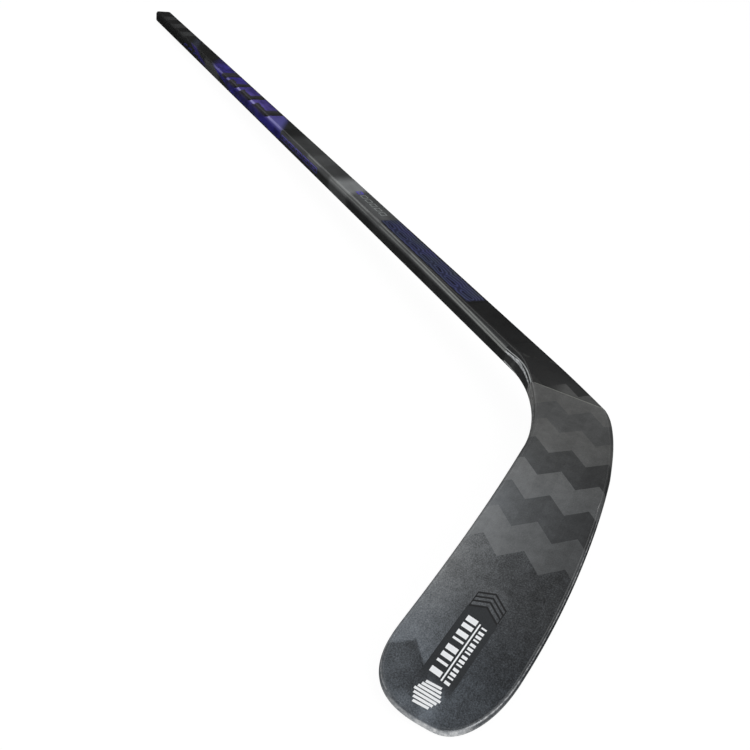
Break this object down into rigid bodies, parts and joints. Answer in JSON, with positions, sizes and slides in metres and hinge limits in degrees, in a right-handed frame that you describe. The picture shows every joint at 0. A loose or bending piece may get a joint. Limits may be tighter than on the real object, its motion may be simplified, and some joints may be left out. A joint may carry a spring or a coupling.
{
  "type": "ice hockey stick",
  "caption": "Left-handed composite ice hockey stick with a hollow rectangular shaft, a curved foam-cored blade and a pull-out butt plug.",
  "frame": {"origin": "centre of the butt's flat end, on the shaft's centre line", "axes": "+X out of the butt along the shaft, +Y to the side that the blade turns to, +Z the way the shaft's wide backhand-side face looks, as the stick lies flat"},
  "size_m": [1.7285, 0.26, 0.0528],
  "materials": {
    "tube_carbon": "satin black clear coat over woven carbon",
    "plug_plastic": "moulded black plastic",
    "stopper_foam": "cut foam",
    "core_foam": "fine closed-cell foam",
    "dense_foam": "dense foam",
    "tenon_carbon": "bare carbon",
    "resin": "cured adhesive",
    "hosel_carbon": "satin black clear coat",
    "blade_carbon": "satin grey carbon in stepped plies",
    "rim_resin": "grey resin edge",
    "toe_rubber": "damping rubber",
    "fade_film": "violet fade under clear coat",
    "line_film": "indigo outlines on black",
    "mark_film": "grey printed marks",
    "label_film": "dark label with pale marks"
  },
  "bodies": {
    "stick": {"shaft_tube": "tube_carbon", "foam_stopper": "stopper_foam", "tenon_core": "core_foam", "tenon_sleeve": "tenon_carbon", "tenon_adhesive": "resin", "hosel_wrap": "hosel_carbon", "hosel_core": "dense_foam", "heel_core": "dense_foam", "backhand_skin": "blade_carbon", "forehand_skin": "blade_carbon", "sole_rim": "rim_resin", "toe_rim": "rim_resin", "top_rim": "rim_resin", "upper_core": "core_foam", "lower_core": "core_foam", "core_rib": "tenon_carbon", "toe_insert": "toe_rubber", "fade_graphic": "fade_film", "side_graphic": "line_film", "line_graphic": "line_film", "size_mark": "mark_film", "butt_mark": "mark_film", "blade_label": "label_film"},
    "plug": {"end_plug": "plug_plastic"}
  },
  "joints": [
    {"name": "plug_pull", "type": "slide", "parent": "stick", "child": "plug", "axis": [1, 0, 0], "range_m": [0, 0.06]}
  ]
}
